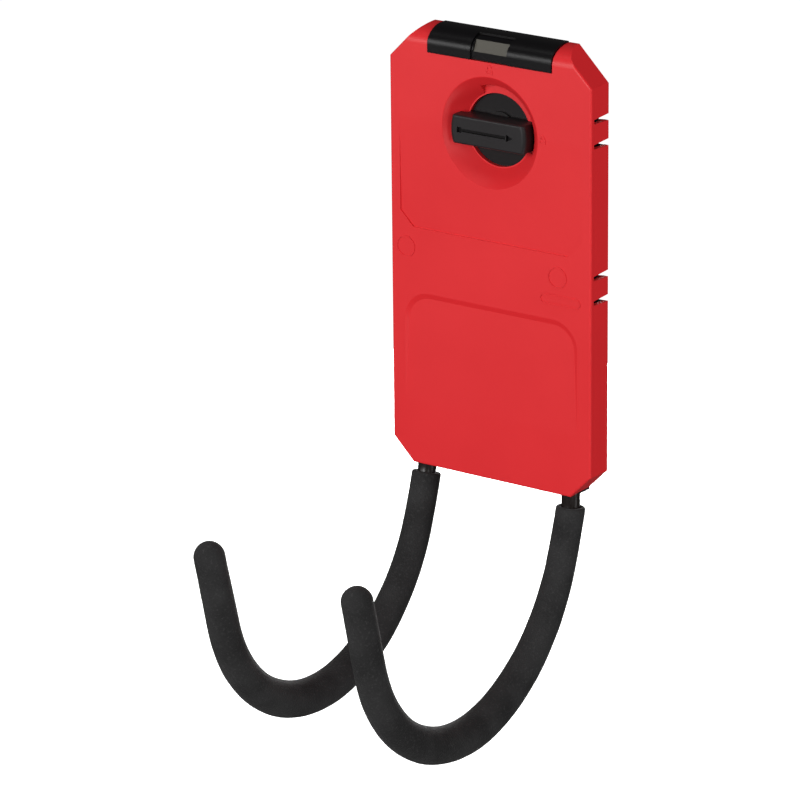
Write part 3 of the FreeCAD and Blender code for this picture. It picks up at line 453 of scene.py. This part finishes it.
def sweep_tree():
    """Node tree that sweeps a wall profile round and along a middle line, with small dents."""
    tree = bpy.data.node_groups.new("swept_sleeve", "GeometryNodeTree")
    tree.interface.new_socket("Geometry", in_out="OUTPUT", socket_type="NodeSocketGeometry")
    for name, kind in (("Middle Line", "Object"), ("Wall Profile", "Object"), ("Segments", "Int"),
                       ("Dent Depth", "Float"), ("Dent Scale", "Float"), ("Dent Seed", "Float"),
                       ("Bore Radius", "Float"), ("Material", "Material")):
        tree.interface.new_socket(name, in_out="INPUT", socket_type="NodeSocket" + kind)
    given = tree.nodes.new("NodeGroupInput").outputs
    result = tree.nodes.new("NodeGroupOutput").inputs[0]

    def node(kind, **settings):
        made = tree.nodes.new(kind)
        for key, value in settings.items():
            setattr(made, key, value)
        return made

    def vectors(operation, *values):
        made = node("ShaderNodeVectorMath", operation=operation)
        for socket, value in zip(made.inputs, values):
            if isinstance(value, tuple):
                socket.default_value = value
            else:
                tree.links.new(value, socket)
        return made.outputs[0]

    line = node("GeometryNodeObjectInfo")
    wall = node("GeometryNodeObjectInfo")
    tree.links.new(given["Middle Line"], line.inputs["Object"])
    tree.links.new(given["Wall Profile"], wall.inputs["Object"])
    size = node("GeometryNodeAttributeDomainSize", component="CURVE")
    tree.links.new(wall.outputs["Geometry"], size.inputs["Geometry"])
    rings = size.outputs["Point Count"]

    # A flat grid, one row for each point of the profile, rolled up round the middle line.
    grid = node("GeometryNodeMeshGrid")
    tree.links.new(rings, grid.inputs["Vertices X"])
    tree.links.new(given["Segments"], grid.inputs["Vertices Y"])
    flat = node("ShaderNodeSeparateXYZ")
    tree.links.new(node("GeometryNodeInputPosition").outputs[0], flat.inputs[0])
    down_grid = maths(tree, "ADD", flat.outputs[0], 0.5)
    round_grid = maths(tree, "ADD", flat.outputs[1], 0.5)
    row = maths(tree, "ROUND", maths(tree, "MULTIPLY", down_grid, maths(tree, "SUBTRACT", rings, 1)))
    angle = maths(tree, "MULTIPLY", round_grid, 2 * math.pi)
    section = node("GeometryNodeSampleIndex", data_type="FLOAT_VECTOR", domain="POINT")
    tree.links.new(wall.outputs["Geometry"], section.inputs["Geometry"])
    tree.links.new(node("GeometryNodeInputPosition").outputs[0], section.inputs["Value"])
    tree.links.new(row, section.inputs["Index"])
    wanted = node("ShaderNodeSeparateXYZ")
    tree.links.new(section.outputs[0], wanted.inputs[0])
    radius = wanted.outputs[1]
    spot = node("GeometryNodeSampleCurve", mode="LENGTH", use_all_curves=True)
    tree.links.new(line.outputs["Geometry"], spot.inputs["Curves"])
    tree.links.new(wanted.outputs[0], spot.inputs["Length"])
    middle = spot.outputs["Position"]
    side = (1.0, 0.0, 0.0)
    ahead = vectors("CROSS_PRODUCT", spot.outputs["Tangent"], side)
    turned = node("ShaderNodeCombineXYZ")
    tree.links.new(maths(tree, "COSINE", angle), turned.inputs[0])
    reach = maths(tree, "SINE", angle)
    scaled = node("ShaderNodeVectorMath", operation="SCALE")
    tree.links.new(ahead, scaled.inputs[0])
    tree.links.new(reach, scaled.inputs["Scale"])
    outward = vectors("ADD", turned.outputs[0], scaled.outputs[0])

    # Dents on the skin only, from seeded noise; the bore keeps its size.
    rough_spot = node("ShaderNodeVectorMath", operation="MULTIPLY_ADD")
    tree.links.new(outward, rough_spot.inputs[0])
    rough_spot.inputs[1].default_value = (START_RADIUS,) * 3
    tree.links.new(middle, rough_spot.inputs[2])
    noise = node("ShaderNodeTexNoise", noise_dimensions="4D")
    tree.links.new(rough_spot.outputs[0], noise.inputs["Vector"])
    tree.links.new(given["Dent Seed"], noise.inputs["W"])
    tree.links.new(given["Dent Scale"], noise.inputs["Scale"])
    swing = maths(tree, "SUBTRACT", noise.outputs["Fac"], DENT_MIDDLE)
    swing = maths(tree, "MULTIPLY", swing, given["Dent Depth"])
    on_skin = maths(tree, "GREATER_THAN", radius, maths(tree, "MULTIPLY", given["Bore Radius"], SKIN_FROM))
    length = maths(tree, "ADD", radius, maths(tree, "MULTIPLY", swing, on_skin))
    pushed = node("ShaderNodeVectorMath", operation="SCALE")
    tree.links.new(outward, pushed.inputs[0])
    tree.links.new(length, pushed.inputs["Scale"])
    rolled = node("GeometryNodeSetPosition")
    tree.links.new(grid.outputs["Mesh"], rolled.inputs["Geometry"])
    tree.links.new(vectors("ADD", middle, pushed.outputs[0]), rolled.inputs["Position"])

    closed = node("GeometryNodeMergeByDistance")
    closed.inputs["Distance"].default_value = 0.000002
    smooth = node("GeometryNodeSetShadeSmooth")
    real = node("GeometryNodeRealizeInstances")
    paint = node("GeometryNodeSetMaterial")
    tree.links.new(rolled.outputs[0], closed.inputs["Geometry"])
    tree.links.new(closed.outputs[0], smooth.inputs["Geometry"])
    tree.links.new(smooth.outputs[0], real.inputs["Geometry"])
    tree.links.new(real.outputs[0], paint.inputs["Geometry"])
    tree.links.new(given["Material"], paint.inputs["Material"])
    tree.links.new(paint.outputs[0], result)
    return tree


def swept(name, tree, inputs):
    """Plain mesh object from one use of a node tree, its inputs given by name."""
    holder = bpy.data.objects.new(name + "_source", bpy.data.meshes.new(name + "_source"))
    bpy.context.scene.collection.objects.link(holder)
    modifier = holder.modifiers.new("nodes", "NODES")
    modifier.node_group = tree
    sockets = {item.name: item.identifier for item in tree.interface.items_tree if item.in_out == "INPUT"}
    for key, value in inputs.items():
        modifier[sockets[key]] = value
    bpy.context.view_layer.update()
    graph = bpy.context.evaluated_depsgraph_get()
    mesh = bpy.data.meshes.new_from_object(holder.evaluated_get(graph))
    mesh.name = name
    bpy.data.objects.remove(holder)
    piece = bpy.data.objects.new(name, mesh)
    bpy.context.scene.collection.objects.link(piece)
    return piece


sleeve_sweep = sweep_tree()
for side, drop, seed in (("left", 0.0, 2.0), ("right", RIGHT_DROP, 5.0)):
    rod_low, rod_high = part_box(side + "_hook_rod")
    rod_radius = (rod_high.x - rod_low.x) / 2
    bore = rod_radius + BORE_GAP
    line, length = rod_line((rod_low.x + rod_high.x) / 2, rod_high.y - rod_radius, rod_high.z,
                            ROD_HOLD + drop, 2 * TIP_RADIUS)
    middle_line = poly_curve(side + "_rod_line", line)
    profile = poly_curve(side + "_wall_profile", wall_profile(SLEEVE_START[side], length, bore))
    sleeve = swept(side + "_sleeve", sleeve_sweep, {
        "Middle Line": middle_line, "Wall Profile": profile, "Segments": 49, "Dent Depth": 0.0004,
        "Dent Scale": 70.0, "Dent Seed": seed, "Bore Radius": bore, "Material": foam_grey})
    for helper in (middle_line, profile):
        bpy.data.objects.remove(helper)
    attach(sleeve, "housing")
    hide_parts(side + "_foam_sleeve")
